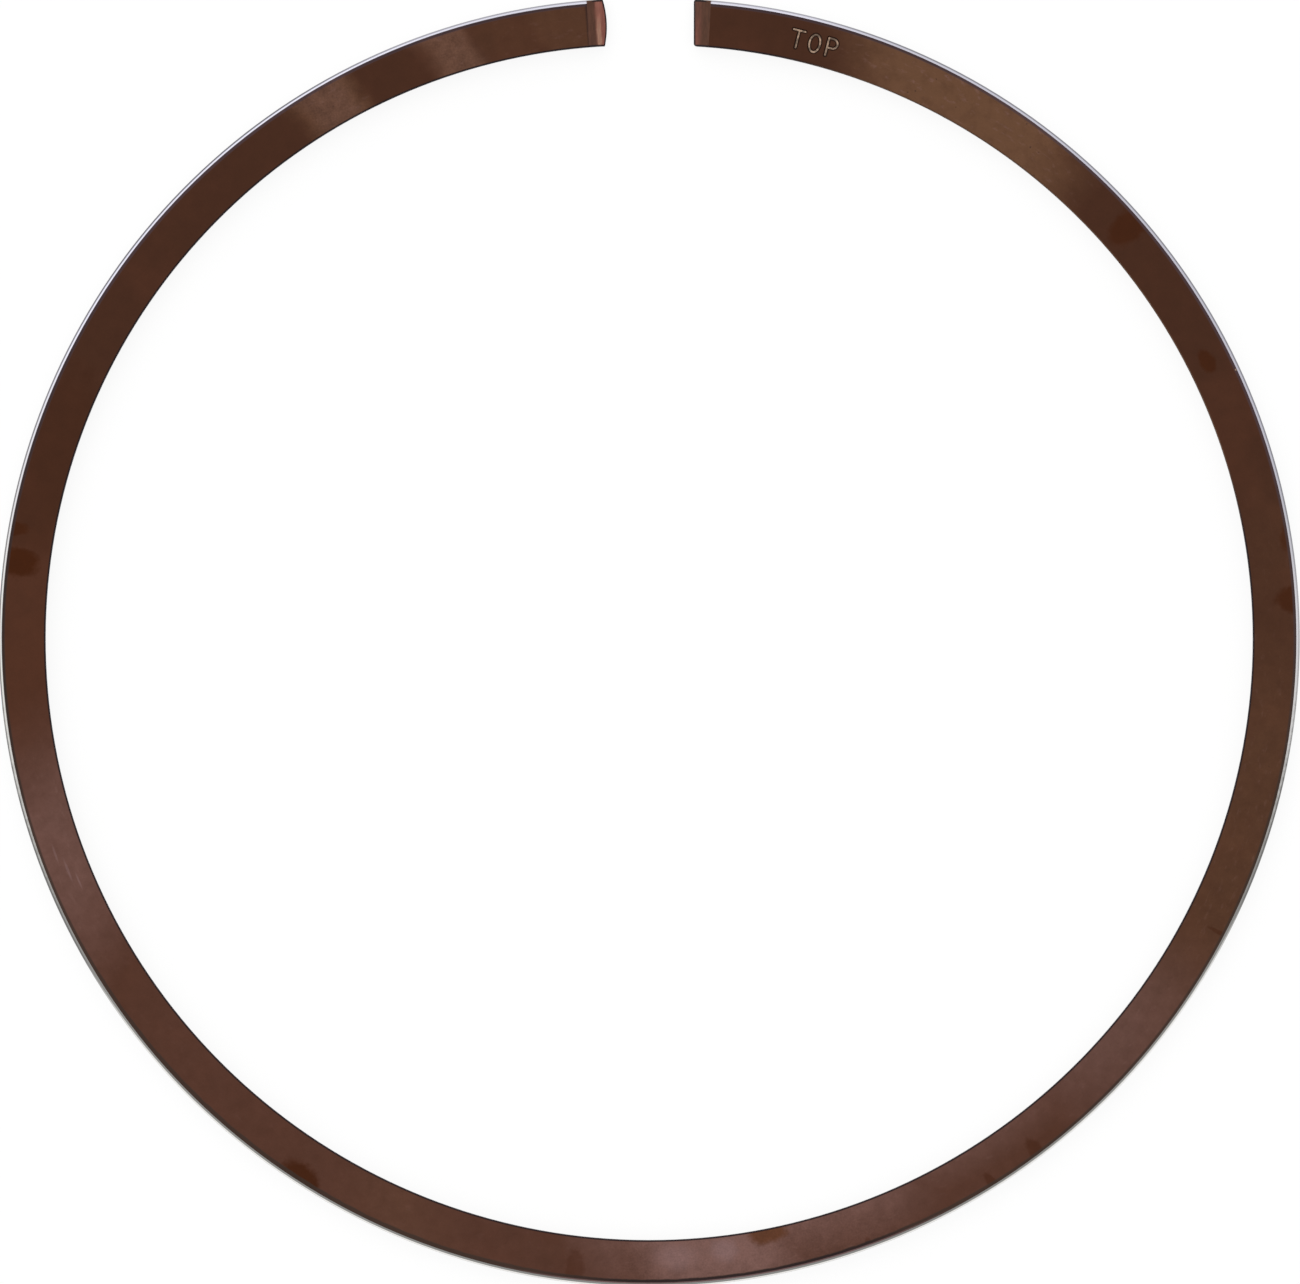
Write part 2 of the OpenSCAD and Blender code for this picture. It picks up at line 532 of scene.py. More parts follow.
def round_stroke(ring, at, half_x, half_y, finishes, draw_out=0.0):
    """Cutter of a closed round stroke, or of a bowl that is drawn out to a stem on its left."""
    tall = STROKE_OVER * ring.stroke_depth
    spread = tall * mouth_slope(ring)
    outer = ring.stroke_floor / 2 + spread
    round_sides = 48
    bpy.ops.object.select_all(action="DESELECT")
    bpy.ops.mesh.primitive_circle_add(vertices=round_sides, radius=1, fill_type="NGON")
    cutter = bpy.context.object
    bpy.ops.object.mode_set(mode="EDIT")
    bpy.ops.mesh.select_all(action="SELECT")
    bpy.ops.transform.resize(value=(half_x + outer, half_y + outer, 1))
    bpy.ops.transform.translate(value=(0, 0, tall))
    pick_points(cutter, lambda point: point.x < -TOUCH)
    bpy.ops.transform.translate(value=(-draw_out, 0, 0))
    bpy.ops.mesh.select_all(action="SELECT")
    bpy.ops.mesh.inset(thickness=spread, depth=-tall)
    bpy.ops.mesh.inset(thickness=ring.stroke_floor, depth=0)
    bpy.ops.mesh.inset(thickness=spread, depth=tall)
    bpy.ops.mesh.delete(type="ONLY_FACE")
    pick_points(cutter, lambda point: point.z > tall - TOUCH)
    bpy.ops.mesh.bridge_edge_loops()
    outward_normals()
    if draw_out:
        bpy.ops.mesh.bisect(
            plane_co=(-draw_out, 0, 0),
            plane_no=(1, 0, 0),
            use_fill=True,
            clear_inner=True,
            threshold=TOUCH,
        )
        outward_normals()
    bpy.ops.object.mode_set(mode="OBJECT")
    return finish_stroke(cutter, ring, at, 0.0, finishes)


def letter_cutters(ring, finishes):
    """Cutters of the three letters that name the side which faces the crown of the piston."""
    up = ring.letter_h / 2
    upright = math.pi / 2
    stem_sunk = 0.006
    t_left, t_stem, t_right = -1.42, -1.06, -0.70
    o_half = 0.32
    p_stem, p_bowl, p_bowl_r = 0.765, 1.05, 0.29
    return [
        straight_stroke(ring, (t_left, up), 0.0, t_right - t_left, finishes),
        straight_stroke(ring, (t_stem, -up), upright, ring.letter_h, finishes, stem_sunk),
        round_stroke(ring, (0.0, 0.0), o_half, up, finishes),
        straight_stroke(ring, (p_stem, -up), upright, ring.letter_h, finishes, stem_sunk),
        round_stroke(ring, (p_bowl, up - p_bowl_r), p_bowl_r, p_bowl_r, finishes, p_bowl - p_stem),
    ]


class Wire:
    """One shader socket. Arithmetic on wires adds the Math nodes that work it out."""

    def __init__(self, bench, socket):
        self.bench = bench
        self.socket = socket

    def math(self, operation, *values):
        """What a Math node makes of some values."""
        return self.bench.add("ShaderNodeMath", {"operation": operation}, dict(enumerate(values)))

    def __add__(self, other):
        return self.math("ADD", self, other)

    def __radd__(self, other):
        return self.math("ADD", other, self)

    def __sub__(self, other):
        return self.math("SUBTRACT", self, other)

    def __rsub__(self, other):
        return self.math("SUBTRACT", other, self)

    def __mul__(self, other):
        return self.math("MULTIPLY", self, other)

    def __rmul__(self, other):
        return self.math("MULTIPLY", other, self)

    def __truediv__(self, other):
        return self.math("DIVIDE", self, other)

    def __pow__(self, other):
        return self.math("POWER", self, other)

    def __gt__(self, other):
        return self.math("GREATER_THAN", self, other)

    def __lt__(self, other):
        return self.math("LESS_THAN", self, other)

    def __neg__(self):
        return self.math("MULTIPLY", self, -1.0)

    def top(self, other):
        """The larger of two values."""
        return self.math("MAXIMUM", self, other)

    def rise(self, low, high):
        """0 below low, 1 above high, and a smooth rise between."""
        limits = {"Value": self, "From Min": low, "From Max": high}
        return self.bench.add("ShaderNodeMapRange", {"interpolation_type": "SMOOTHSTEP"}, limits)

    def band(self, low, high, soft):
        """1 between low and high, with soft edges, and 0 elsewhere."""
        return self.rise(low - soft, low + soft) * (1 - self.rise(high - soft, high + soft))


class Bench:
    """A node tree and the one way to add a node to it."""

    def __init__(self, owner):
        owner.use_nodes = True
        self.tree = owner.node_tree
        self.tree.nodes.clear()

    def add(self, kind, settings, inputs, output=0):
        """Adds a node with its settings, then its sockets' values or links, and gives an output."""
        node = self.tree.nodes.new(kind)
        for key, value in settings.items():
            setattr(node, key, value)
        for key, value in inputs.items():
            if isinstance(value, Wire):
                self.tree.links.new(value.socket, node.inputs[key])
            else:
                node.inputs[key].default_value = value
        return Wire(self, node.outputs[output]) if node.outputs else None

    def blend(self, factor, under, over):
        """One colour over another, by a factor."""
        colours = {0: factor, 6: rgba(under), 7: rgba(over)}
        return self.add("ShaderNodeMix", {"data_type": "RGBA"}, colours, 2)

    def scaled(self, tone, factor):
        """A colour made lighter or darker by a factor."""
        if not isinstance(tone, Wire):
            tone = tuple(tone)
        return self.add("ShaderNodeVectorMath", {"operation": "SCALE"}, {0: tone, "Scale": factor})

    def noise(self, where, scale, detail, roughness):
        """Noise about 0.5."""
        sockets = {"Vector": where, "Scale": scale, "Detail": detail, "Roughness": roughness}
        return self.add("ShaderNodeTexNoise", {}, sockets, "Fac")

    def stretched(self, where, stretch):
        """Coordinates stretched along each axis."""
        return self.add("ShaderNodeVectorMath", {"operation": "MULTIPLY"}, {0: where, 1: stretch})

    def point(self, x, y, z):
        """A point made of three values."""
        return self.add("ShaderNodeCombineXYZ", {}, {0: x, 1: y, 2: z})

    def bump(self, height, strength, distance):
        """A normal roughened by a height."""
        sockets = {"Height": height, "Strength": strength, "Distance": distance}
        return self.add("ShaderNodeBump", {}, sockets)

    def finish(self, **sockets):
        """The material's surface. Socket names have _ for a space."""
        inputs = {key.replace("_", " "): rgba(value) for key, value in sockets.items()}
        surface = self.add("ShaderNodeBsdfPrincipled", {}, inputs)
        self.add("ShaderNodeOutputMaterial", {}, {"Surface": surface})


def rgba(value):
    """A plain colour with its alpha. Wires and numbers pass through."""
    if isinstance(value, (Wire, int, float)):
        return value
    return (value[0], value[1], value[2], 1.0)


class RingCoordinates:
    """Where a shaded point lies on the ring. A value adds its nodes when it is first asked for."""

    def __init__(self, bench, ring):
        self.bench = bench
        self.ring = ring

    def axis(self, index):
        """One of the three parts of the point's place."""
        return self.bench.add("ShaderNodeSeparateXYZ", {}, {"Vector": self.place}, index)

    def stored(self, name):
        """A value that the mesh keeps for each of its points."""
        return self.bench.add("ShaderNodeAttribute", {"attribute_name": name}, {}, "Fac")

    @cached_property
    def place(self):
        """The point itself, in metres."""
        return self.bench.add("ShaderNodeTexCoord", {}, {}, "Object")

    @cached_property
    def x(self):
        """Metres to the right of the ring's centre."""
        return self.axis(0)

    @cached_property
    def y(self):
        """Metres from the ring's centre towards the gap."""
        return self.axis(1)

    @cached_property
    def z(self):
        """Metres above the table."""
        return self.axis(2)

    @cached_property
    def upper(self):
        """1 in the upper half of the ring's height."""
        return self.z > self.ring.ring_h / 2 * MM

    @cached_property
    def left(self):
        """1 on the half that ends in the crowned butt."""
        return self.x < 0

    @cached_property
    def clock(self):
        """Degrees clockwise from the gap, as on a clock face."""
        return self.x.math("ARCTAN2", -self.x, -self.y) * math.degrees(1) + 180

    @cached_property
    def across(self):
        """0 at the inner face and 1 at the crest of the running face."""
        return self.stored("across")

    @cached_property
    def end_run(self):
        """Millimetres back from the nearer butt along the ring."""
        return self.stored("end_run")

    @cached_property
    def from_tip(self):
        """Millimetres back from the outline of the nearer end, in plan."""
        out = (self.across - 0.5) * self.ring.radial_w
        crowned = self.end_run - out * out / (2 * butt_radius(self.ring))
        sawn = self.x / MM - self.ring.free_gap / 2
        return crowned * self.left + sawn * (1 - self.left)

    @cached_property
    def run(self):
        """Millimetres along and across the ring, and up, so that a pattern follows it."""
        along = self.clock * math.radians((self.ring.bore_d - self.ring.radial_w) / 2)
        return self.bench.point(along, self.across * self.ring.radial_w, self.z / MM)


def new_material(name):
    """A new material and the bench for its nodes."""
    material = bpy.data.materials.new(name)
    return material, Bench(material)


# Dried oil marks on the upper side: clock angle, place across the width, half length in degrees,
# half depth as a share of the width, and how strong the mark is
OIL_MARKS = [
    (48.9, 0.64, 1.55, 0.62, 0.74),
    (63.1, 0.42, 1.25, 0.19, 0.80),
    (80.6, 0.92, 1.30, 0.22, 0.60),
    (85.9, 0.92, 1.50, 0.45, 0.78),
    (116.8, 0.88, 0.22, 0.36, 0.50),
    (142.6, 0.92, 0.85, 0.45, 0.50),
    (147.5, 0.92, 0.50, 0.34, 0.50),
    (159.8, 0.92, 0.40, 0.26, 0.45),
    (186.7, 0.70, 1.00, 0.50, 0.38),
    (213.1, 0.92, 2.20, 0.45, 0.90),
    (277.3, 0.68, 1.50, 0.56, 0.95),
    (280.2, 0.90, 0.80, 0.46, 0.85),
    (286.5, 0.50, 11.0, 0.95, 0.20),
]

# A chip in the oxide beside the plating, in the same terms
CHIPS = [
    (64.9, 0.895, 0.13, 0.022, 1.0),
]

# Pale spots and streaks within the painted sheen, in the same terms
SHEEN_SPOTS = [
    (172.8, 0.30, 1.70, 0.34, 0.50),
    (177.4, 0.36, 2.60, 0.36, 0.35),
    (247.3, 0.34, 1.10, 0.030, 0.34),
    (248.6, 0.47, 1.40, 0.035, 0.34),
    (250.3, 0.60, 1.00, 0.030, 0.28),
]

# A faint rusty mark, in the same terms
RUST_MARKS = [
    (168.5, 0.06, 2.40, 0.30, 0.95),
]

# The half away from the gap: clock angles from and to, and half width of its soft ends, in degrees
FAR_HALF = (88, 285, 20.0)

# Bands of lighter olive oxide round the ring, partly wear and partly painted sheen, in the same terms,
# and how strong each is
WEAR_AND_SHEEN_BANDS = [
    (19.5, 41, 4.5, 1.0),
    (76, 88, 5.0, 0.12),
    (90, 124, 12.0, 0.34),
    (200, 208, 4.0, 0.22),
    (338.8, 343.3, 1.3, 0.62),
    (343, 349, 2.0, 0.16),
    (349, 356, 2.0, 0.30),
]

# Bands of painted pink sheen that ease towards the outside, and those that don't, in the same terms
EASED_SHEEN_BANDS = [
    (122, 138, 6.0, 0.42),
    (167.0, 180.5, 4.0, 1.0),
    (178, 187, 4.0, 0.38),
]
SHEEN_BANDS = [
    (140, 240, 10.0, 0.12),
    (241, 259, 7.0, 0.55),
    (327.0, 331.6, 1.2, 0.20),
    (338.8, 343.3, 1.3, 0.20),
]

# Bands of redder oxide, in the same terms
WARM_BANDS = [
    (134, 270, 8.0, 0.75),
    (259, 279, 4.0, 1.0),
]

# The painted sheen at the back and the small patches of wear and painted sheen are more speckled than
# the rest, in the same terms
SPECKLED_BANDS = [
    (157, 184, 4.0, 0.65),
    (326, 332.5, 1.2, 1.0),
    (338.8, 343.3, 1.3, 1.0),
]


def marks(at, places, wobble, soft):
    """1 in the marks at the given places and 0 outside them.

    soft is where a mark's edge starts to fade, as a share of the way from its middle.
    """
    fade_end = 1.05
    found = []
    for angle, across, half_run, half_depth, strength in places:
        run = (at.clock - angle) / half_run
        depth = (at.across - across) / half_depth
        reach = (run * run + depth * depth) ** 0.5 + wobble
        found.append((1 - reach.rise(soft, fade_end)) * strength)
    return reduce(Wire.top, found)


def bands(clock, places):
    """The strongest of the given bands at a clock angle."""
    return reduce(Wire.top, [clock.band(*span) * strength for *span, strength in places])


def brown_oxide(colours, ring):
    """Brown oxide on the lapped sides: mottled, with wear, painted sheen, dried oil marks and painted
    dark edge shade.
    """
    material, bench = new_material("brown_oxide")
    at = RingCoordinates(bench, ring)
    drifts = bench.noise(at.place, 170, 2.0, 0.5)
    cloud = bench.noise(at.place, 260, 3.0, 0.55)
    mottle = bench.noise(at.place, 1400, 3.0, 0.6)
    grain = bench.noise(at.place, 9000, 2.0, 0.6)
    patches = bench.noise(at.place, 620, 2.0, 0.5)
    flecks = bench.noise(bench.stretched(at.run, (1.5, 3.2, 1.0)), 1.0, 3.0, 0.6)
    scratches = bench.noise(bench.stretched(at.run, (0.6, 8.0, 1.0)), 1.0, 2.0, 0.6)
    clock = at.clock + (cloud - 0.5) * 4.5 + (at.across - 0.5) * 1.4
    # The lighter olive patches are partly wear and partly painted sheen
    wear_and_sheen = bands(clock, WEAR_AND_SHEEN_BANDS)
    # One patch ends more sharply than it starts
    wear_and_sheen = wear_and_sheen.top(clock.rise(324.6, 327.8) * (1 - clock.rise(331.4, 333.5)) * 0.58)
    wear_and_sheen = wear_and_sheen * (0.6 + 0.8 * mottle)
    # The pinker patches are painted sheen
    sheen_and_dull_tone = bands(clock, EASED_SHEEN_BANDS)
    sheen_and_dull_tone = sheen_and_dull_tone.top(clock.band(153, 170, 5.0) * (0.58 - 0.37 * at.across)) * (1.16 - 0.36 * at.across)
    sheen_and_dull_tone = sheen_and_dull_tone.top(clock.band(136, 155, 6.0) * (0.42 - 0.5 * at.across))
    sheen_and_dull_tone = sheen_and_dull_tone.top(bands(clock, SHEEN_BANDS)) * (0.7 + 0.6 * mottle)
    warm = drifts.rise(0.44, 0.62) * 0.45 * (1 - clock.band(309, 338, 3.0))
    warm = warm.top(bands(clock, WARM_BANDS)) + (patches - 0.5) * 0.9
    tone = bench.blend(warm, colours.oxide, colours.oxide_warm)
    tone = bench.blend(wear_and_sheen, tone, colours.olive_wear_and_sheen)
    tone = bench.blend(sheen_and_dull_tone, tone, colours.pink_sheen_and_flecks)
    pale = flecks.rise(0.56, 0.78).top(scratches.rise(0.64, 0.80) * 0.6) * wear_and_sheen.top(sheen_and_dull_tone)
    tone = bench.blend(pale * 0.6, tone, colours.pink_sheen_and_flecks)
    pits = bench.noise(at.place, 4200, 1.0, 0.5).rise(0.72, 0.80) * wear_and_sheen
    tone = bench.blend(pits * 0.5, tone, colours.pits_and_edge_shade)
    wobble = (mottle - 0.5) * 0.7
    sheen_spots = marks(at, SHEEN_SPOTS, wobble, 0.30)
    rust = marks(at, RUST_MARKS, wobble, 0.55)
    oil = marks(at, OIL_MARKS, wobble, 0.62)
    chips = marks(at, CHIPS, wobble, 0.40)
    tone = bench.blend(sheen_spots * at.upper, tone, colours.pale_sheen_tone)
    tone = bench.blend(rust * at.upper, tone, colours.oxide_rust)
    tone = bench.blend(oil * at.upper, tone, colours.oil_stain_and_wall_shade)
    tone = bench.blend(chips * at.upper, tone, colours.letter)
    # Beside the plating runs a grey or violet line, and over it a painted dark line of edge shade,
    # strongest at the back
    gap_side = 1 - clock.band(30, 334, 5.0)
    gap_half = 1 - clock.band(*FAR_HALF)
    ragged = at.across + clock.band(150, 240, 10.0) * (0.01 + 0.05 * mottle)
    grey_line = ragged.rise(0.846, 0.880) * 0.8 * (1 - chips)
    line_tone = bench.blend(gap_half, colours.edge_grey, colours.edge_violet)
    tone = bench.blend(grey_line, tone, line_tone)
    dark_share = 0.12 + 0.3 * gap_side + 0.62 * clock.band(158, 186, 5.0)
    dark_share = dark_share + 0.25 * clock.band(258, 304, 6.0)
    dark_line = ragged.rise(0.858, 0.886) * dark_share
    # A painted dark line of edge shade runs along the inner edge too, fainter at clock 16 to 76
    inner_line = (1 - at.across.rise(0.022, 0.036)) * (0.8 - 0.7 * clock.band(16, 76, 6.0))
    edge_shade = (dark_line * (1 - chips)).top(inner_line)
    # Painted shade darkens the oxide beside the crowned end's crease
    crease = ring.relief_len + ring.butt_crown
    crease_shade = 1 - at.end_run.rise(crease, crease + 0.17)
    edge_shade = edge_shade.top(crease_shade * at.left * 0.6)
    tone = bench.blend(edge_shade, tone, colours.pits_and_edge_shade)
    # A pale strip of the sheen tone lies along the outer edge at the back
    pale_edge_strip = at.across.rise(0.886, 0.904) * clock.band(156, 190, 5.0)
    tone = bench.blend(pale_edge_strip * 0.6, tone, colours.pale_sheen_tone)
    speckles = bands(clock, SPECKLED_BANDS) * (0.35 * (mottle - 0.5) + 0.55 * (grain - 0.5))
    tone = bench.scaled(tone, 0.78 + 0.28 * mottle + 0.16 * grain + speckles)
    lap = bench.noise(bench.stretched(at.place, (1.0, 3.0, 1.0)), 9000, 3.0, 0.7)
    bench.finish(
        Base_Color=tone,
        Metallic=0.88,
        Roughness=0.34 + 0.16 * mottle + 0.08 * sheen_and_dull_tone,
        Normal=bench.bump(lap, 0.25, 0.000004),
    )
    return material


def ground_chrome(colours, ring):
    """Chrome on the running face and its bevels, with fine lines that run round the ring, and painted
    shade and highlights on the upper bevel.
    """
    material, bench = new_material("ground_chrome")
    at = RingCoordinates(bench, ring)
    lines = bench.noise(bench.stretched(at.run, (0.4, 60.0, 60.0)), 1.0, 3.0, 0.65)
    specks = bench.noise(at.place, 2600, 2.0, 0.6)
    outer = at.across.rise(0.952, 0.974)
    # Painted shade dims the plating's reflection, most of all on the half away from the gap
    reflection_shade = (at.clock + 16 * (specks - 0.5)).band(101, 256, 12.0) * 0.62
    reflection_shade = reflection_shade.top(at.clock.band(16, 84, 7.0) * 0.27)
    reflection_shade = reflection_shade.top(0.09 - 0.09 * at.clock.band(264, 302, 8.0))
    # Outside, the bevel ends in a painted line of shade, but in a painted highlight at the back
    bright = outer * at.clock.band(116, 238, 8.0)
    bevel = 1 - at.across.rise(0.988, 0.9925)
    outer_line_shade = outer * (0.46 + 0.28 * at.clock.band(262, 332, 8.0))
    # Painted shade and highlight act on the upper bevel, and the running face below it has a darker
    # satin tone of its own
    shade_and_satin = (outer_line_shade + reflection_shade) * (1 - bright) * bevel + 0.53 * (1 - bevel)
    scored = lines * (0.30 - 0.18 * bevel)
    warm = at.clock.band(*FAR_HALF) * bevel + 0.55 * (1 - bevel)
    tone = bench.blend(warm, colours.chrome, colours.chrome_warm)
    tone = bench.scaled(tone, (1 - shade_and_satin).top(0.18) * (1 - scored))
    # On the half with the crowned end the painted dark line of edge shade reaches over the start of
    # the bevel
    edge_shade_on_bevel = (1 - at.across.rise(0.922, 0.940)) * at.clock.band(262, 350, 8.0)
    tone = bench.blend(edge_shade_on_bevel * 0.85, tone, colours.pits_and_edge_shade)
    # The upper bevel has lost its plating over the relieved ends
    crease = ring.relief_len + ring.butt_crown * at.left
    bare = (1 - (at.end_run - crease).rise(-0.06, 0.02)) * at.upper * bevel
    tone = bench.blend(bare, tone, colours.dull_end_and_crease_shade)
    bench.finish(
        Base_Color=tone,
        Metallic=1 - 0.3 * bare,
        Roughness=0.16 + 0.14 * lines + 0.06 * specks + 0.24 * bare,
        Normal=bench.bump(lines, 0.2, 0.000004),
    )
    return material


def turned_bore_side(colours, ring):
    """The turned inner face and its edges: dark, with tool lines that run round the ring."""
    material, bench = new_material("turned_bore_side")
    at = RingCoordinates(bench, ring)
    lines = bench.noise(bench.stretched(at.run, (0.3, 1.0, 28.0)), 1.0, 3.0, 0.6)
    # The upper bevel is painted dark as shade. At clock 16 to 76 the face is painted lighter
    # olive-brown as light, most of all on that bevel
    upper_bevel = at.z > (ring.ring_h - ring.inner_bevel) * MM
    tone = bench.blend(upper_bevel, colours.bore_side, colours.pits_and_edge_shade)
    brown = at.clock.band(16, 76, 6.0) * (0.3 + 0.5 * upper_bevel)
    tone = bench.blend(brown, tone, colours.olive_wear_and_sheen)
    tone = bench.scaled(tone, 0.6 + 0.9 * lines)
    bench.finish(
        Base_Color=tone,
        Metallic=0.2,
        Roughness=0.6 + 0.2 * lines,
        Specular_IOR_Level=0.15,
        Normal=bench.bump(lines, 0.4, 0.00001),
    )
    return material


def filed_relief(colours, ring):
    """The relieved ends: copper on the crowned end, duller on the other, with painted light and shade
    along the slope and a painted dark outline of edge shade.
    """
    material, bench = new_material("filed_relief")
    at = RingCoordinates(bench, ring)
    fine = bench.noise(bench.stretched(at.place, (9000.0, 1500.0, 1500.0)), 1.0, 3.0, 0.6)
    mottle = bench.noise(at.place, 2200, 2.0, 0.6)
    # Along each relief the tone is painted as light and shade of its slope: shade beside the crease
    # and a highlight band across the copper end, and lighter towards the butt on the straight end
    run = at.end_run + 0.12 * (mottle - 0.5)
    crease_side_shade = run.rise(0.49, 0.77)
    inner = 1 - (at.across + 0.25 * (mottle - 0.5)).rise(0.30, 0.78)
    highlight_band = run.band(0.36, 0.64, 0.08) * (0.2 + 0.8 * inner)
    copper = bench.blend(highlight_band, colours.bare_end, colours.end_highlight)
    copper = bench.blend(crease_side_shade * 0.95, copper, colours.dull_end_and_crease_shade)
    lit_towards_butt = (1 - run.rise(0.2, 0.6)) * (0.21 + 0.33 * inner)
    sheen_and_dull_tone = bench.blend(lit_towards_butt, colours.dull_end_and_crease_shade, colours.bare_end)
    tone = bench.blend(at.left, sheen_and_dull_tone, copper)
    # A painted dark outline of edge shade runs round the tip and along both long edges
    tip = 1 - at.from_tip.rise(0.05, 0.13)
    side = at.across.rise(0.94, 0.96).top(1 - at.across.rise(0.02, 0.045))
    tone = bench.blend(tip.top(side) * 0.95, tone, colours.pits_and_edge_shade)
    tone = bench.scaled(tone, 0.72 + 0.25 * mottle + 0.32 * fine.rise(0.3, 0.7))
    bench.finish(
        Base_Color=tone,
        Metallic=0.7,
        Roughness=0.42 + 0.16 * fine,
        Normal=bench.bump(fine, 0.3, 0.000006),
    )
    return material


def letter_floor(colours, ring):
    """Bright metal at the floor of the cut letters, uneven along the stroke."""
    material, bench = new_material("letter_floor")
    at = RingCoordinates(bench, ring)
    chatter = bench.noise(at.place, 2600, 3.0, 0.65)
    tone = bench.scaled(colours.letter, 0.35 + chatter.rise(0.36, 0.62))
    bench.finish(
        Base_Color=tone,
        Metallic=0.5,
        Roughness=0.45 + 0.2 * chatter,
        Normal=bench.bump(chatter, 0.4, 0.00001),
    )
    return material


def letter_wall_shade(colours, ring):
    """Dark walls of the cut letters, painted dark as shade in the grooves."""
    material, bench = new_material("letter_wall_shade")
    at = RingCoordinates(bench, ring)
    chatter = bench.noise(at.place, 5200, 2.0, 0.6)
    tone = bench.scaled(colours.oil_stain_and_wall_shade, 0.2 + 0.4 * chatter)
    bench.finish(
        Base_Color=tone,
        Metallic=0.3,
        Roughness=0.5 + 0.2 * chatter,
        Specular_IOR_Level=0.2,
    )
    return material


def make_finishes(colours, ring):
    """Every finish on the ring, by name."""
    makers = (brown_oxide, ground_chrome, turned_bore_side, filed_relief, letter_floor, letter_wall_shade)
    return {maker.__name__: maker(colours, ring) for maker in makers}


def finish_swept_faces(piece, ring, shape, finishes):
    """Gives the sides their oxide, the running face its chrome, and the inner face its own finish."""
    names = ("brown_oxide", "ground_chrome", "turned_bore_side")
    for name in names:
        piece.data.materials.append(finishes[name])
    chrome_from = ring.radial_w - ring.barrel_rise - ring.face_bevel
    for face in piece.data.polygons:
        out = shape.measure(face.center.x, face.center.y)[0]
        if out > chrome_from:
            face.material_index = names.index("ground_chrome")
        elif out < ring.inner_bevel:
            face.material_index = names.index("turned_bore_side")


def store_places(piece, ring, shape):
    """Keeps for the materials how far each point lies across the width and from its end."""
    places = [shape.measure(point.co.x, point.co.y) for point in piece.data.vertices]
    kept = {
        "across": [out / ring.radial_w for out, _ in places],
        "end_run": [run for _, run in places],
    }
    for name, values in kept.items():
        attribute = piece.data.attributes.new(name, "FLOAT", "POINT")
        attribute.data.foreach_set("value", values)


class PISTON_RING_OT_model_ring(bpy.types.Operator):
    """Model the ring in its free shape, with relieved ends, cut letters and its finishes"""

    bl_idname = "piston_ring.model_ring"
    bl_label = "Model Ring"

    def execute(self, context):
        ring = in_mm(context.scene.ring_sizes)
        shape = FreeShape(ring)
        finishes = make_finishes(context.scene.ring_colours, ring)
        piece = draw_section(ring, shape)
        sweep_section(piece, shape)
        finish_swept_faces(piece, ring, shape, finishes)
        cutters = [
            straight_butt_cutter(ring, shape),
            crowned_butt_cutter(ring, shape),
            at_butt(relief_cutter(ring, ring.relief_len), shape, 1),
            at_butt(relief_cutter(ring, ring.relief_len + ring.butt_crown), shape, -1),
        ]
        for cutter in cutters:
            cutter.data.materials.append(finishes["filed_relief"])
        for cutter in cutters + letter_cutters(ring, finishes):
            cut(piece, cutter)
        store_places(piece, ring, shape)
        work_on(piece)
        piece.scale = (MM, MM, MM)
        bpy.ops.object.transform_apply(location=False, rotation=False, scale=True)
        bpy.ops.object.shade_smooth_by_angle(angle=SMOOTH_BELOW)
        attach(piece, BODY)
        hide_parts(NODE)
        return {"FINISHED"}


def seen_white(bench, mirrored=1.0):
    """1 for camera rays, mirrored for rays from a reflection or through glass, and 0 for the rest."""
    names = ("Is Camera Ray", "Is Glossy Ray", "Is Transmission Ray")
    camera, glossy, through = (bench.add("ShaderNodeLightPath", {}, {}, name) for name in names)
    return camera.top(glossy.top(through) * mirrored)


def white_table():
    """A table that looks white. The share of it that is lit keeps the ring's soft shadow."""
    white_share = 0.83
    white_level = 1.055
    material, bench = new_material("white_table")
    matt = bench.add("ShaderNodeBsdfDiffuse", {}, {"Color": (0.9, 0.9, 0.9, 1.0)})
    white = bench.add("ShaderNodeEmission", {}, {"Strength": white_level})
    shares = {0: seen_white(bench) * white_share, 1: matt, 2: white}
    mixed = bench.add("ShaderNodeMixShader", {}, shares)
    bench.add("ShaderNodeOutputMaterial", {}, {"Surface": mixed})
    return material


def studio_world(scene):
    """White behind the ring, and soft light that is brighter from above and from the gap's side."""
    world = bpy.data.worlds.new("studio")
    scene.world = world
    bench = Bench(world)
    towards = bench.add("ShaderNodeTexCoord", {}, {}, "Generated")
    split = {"Vector": towards}
    x, y, z = (bench.add("ShaderNodeSeparateXYZ", {}, split, axis) for axis in range(3))
    level = 0.62 + 0.3 * y - 0.14 * x + 0.34 * z
    sky = bench.add("ShaderNodeBackground", {}, {"Color": (1.0, 0.995, 0.99, 1.0), "Strength": level})
    white = bench.add("ShaderNodeBackground", {}, {"Color": (1.0, 1.0, 1.0, 1.0), "Strength": 1.0})
    mixed = bench.add("ShaderNodeMixShader", {}, {0: seen_white(bench, 0.5), 1: sky, 2: white})
    bench.add("ShaderNodeOutputWorld", {}, {"Surface": mixed})


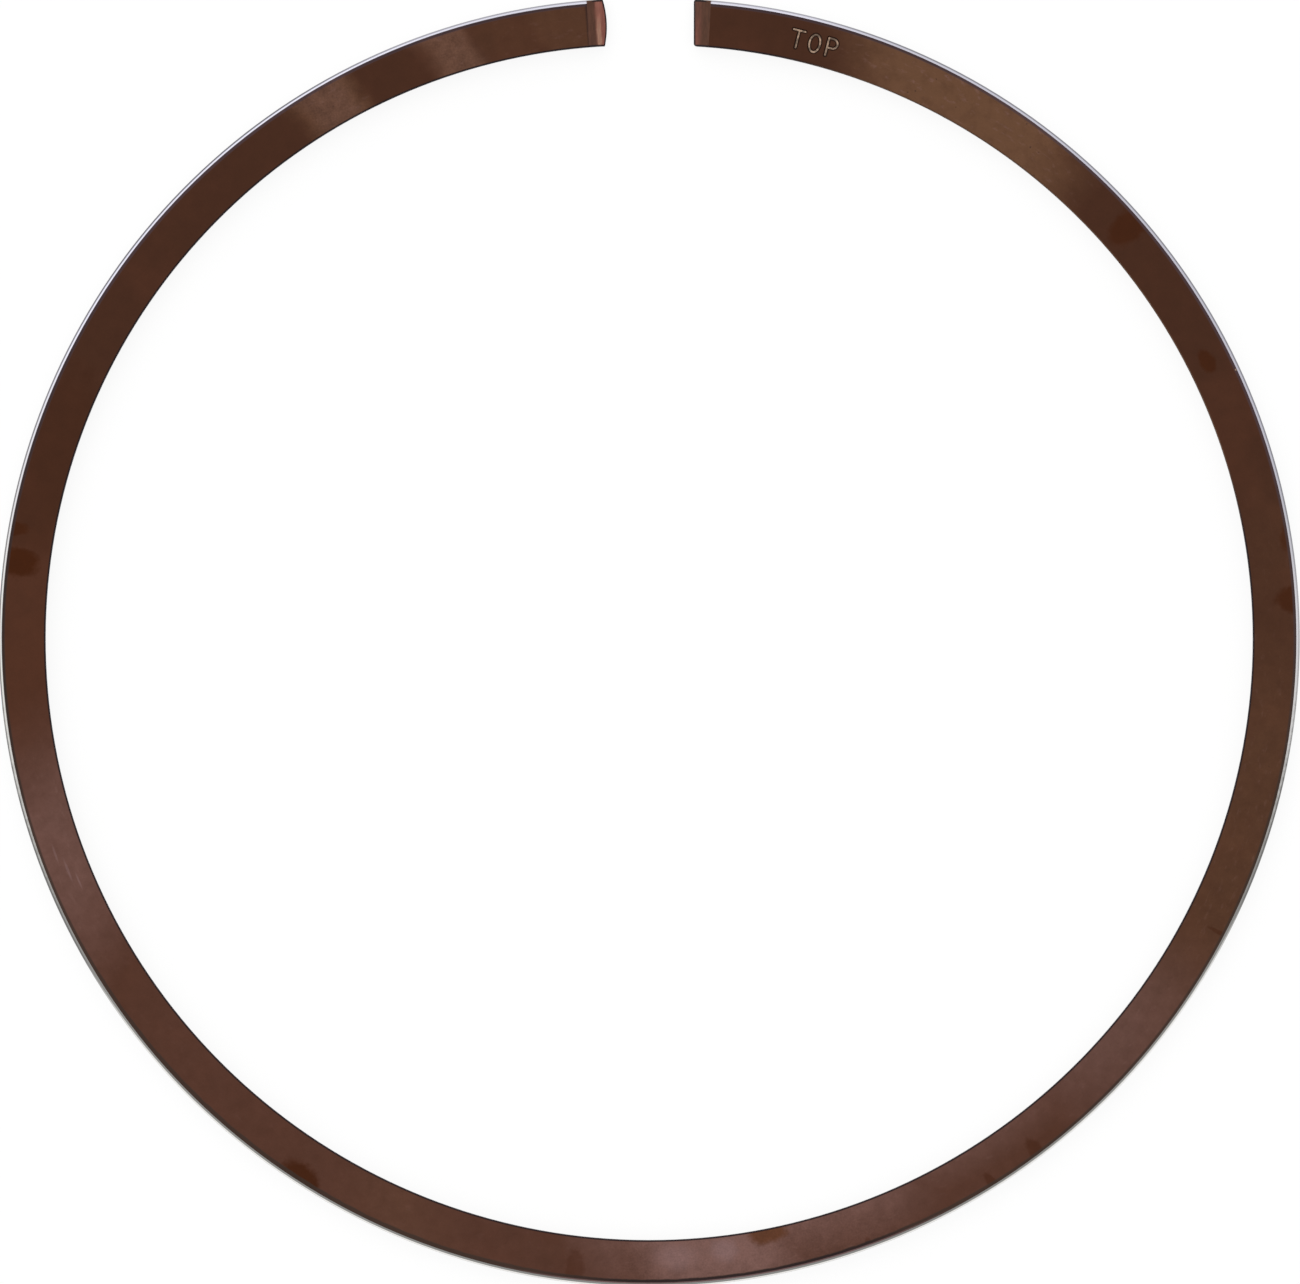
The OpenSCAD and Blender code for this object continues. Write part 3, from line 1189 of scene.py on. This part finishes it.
class PISTON_RING_OT_set_stage(bpy.types.Operator):
    """Set a white table, soft studio light and a camera that looks straight down"""

    bl_idname = "piston_ring.set_stage"
    bl_label = "Set Stage"

    def execute(self, context):
        scene = context.scene
        stage = scene.stage_settings
        bpy.ops.object.select_all(action="DESELECT")
        bpy.ops.mesh.primitive_plane_add(size=TABLE_SIZE, location=(0, 0, -TABLE_DROP))
        table = context.object
        table.name = "table"
        table.data.materials.append(white_table())
        studio_world(scene)
        bpy.ops.object.light_add(type="AREA", location=LAMP_PLACE)
        lamp = context.object
        lamp.name = "soft_lamp"
        lamp.data.size = LAMP_SIZE
        lamp.data.energy = LAMP_POWER
        lamp.rotation_euler = (-lamp.location).to_track_quat("-Z", "Y").to_euler()
        aim = (stage.aim_x, stage.aim_y, stage.camera_height)
        bpy.ops.object.camera_add(location=aim, rotation=(0, 0, stage.roll))
        camera = context.object
        camera.name = "camera"
        camera.data.sensor_fit = "HORIZONTAL"
        camera.data.sensor_width = SENSOR_MM
        above = stage.camera_height - ring_high[2]
        camera.data.lens = SENSOR_MM * above / stage.view_width
        scene.camera = camera
        scene.view_settings.view_transform = "Standard"
        return {"FINISHED"}


class PISTON_RING_PT_panel(bpy.types.Panel):
    """Sizes, colours and steps for the ring"""

    bl_label = "Piston Ring"
    bl_idname = "PISTON_RING_PT_panel"
    bl_space_type = "VIEW_3D"
    bl_region_type = "UI"
    bl_category = "Piston Ring"

    def draw(self, context):
        column = self.layout.column()
        scene = context.scene
        for group in (scene.ring_sizes, scene.ring_colours, scene.stage_settings):
            for key in type(group).__annotations__:
                column.prop(group, key)
        column.operator(PISTON_RING_OT_model_ring.bl_idname)
        column.operator(PISTON_RING_OT_set_stage.bl_idname)


classes = (
    RingSizes,
    RingColours,
    StageSettings,
    PISTON_RING_OT_model_ring,
    PISTON_RING_OT_set_stage,
    PISTON_RING_PT_panel,
)


def register():
    """Makes the classes and the scene's settings known to Blender."""
    for cls in classes:
        bpy.utils.register_class(cls)
    bpy.types.Scene.ring_sizes = PointerProperty(type=RingSizes)
    bpy.types.Scene.ring_colours = PointerProperty(type=RingColours)
    bpy.types.Scene.stage_settings = PointerProperty(type=StageSettings)


def unregister():
    """Takes the classes and the scene's settings out again."""
    del bpy.types.Scene.stage_settings
    del bpy.types.Scene.ring_colours
    del bpy.types.Scene.ring_sizes
    for cls in reversed(classes):
        bpy.utils.unregister_class(cls)


def main():
    """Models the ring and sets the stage."""
    register()
    bpy.ops.piston_ring.model_ring()
    bpy.ops.piston_ring.set_stage()


if __name__ == "__main__":
    main()
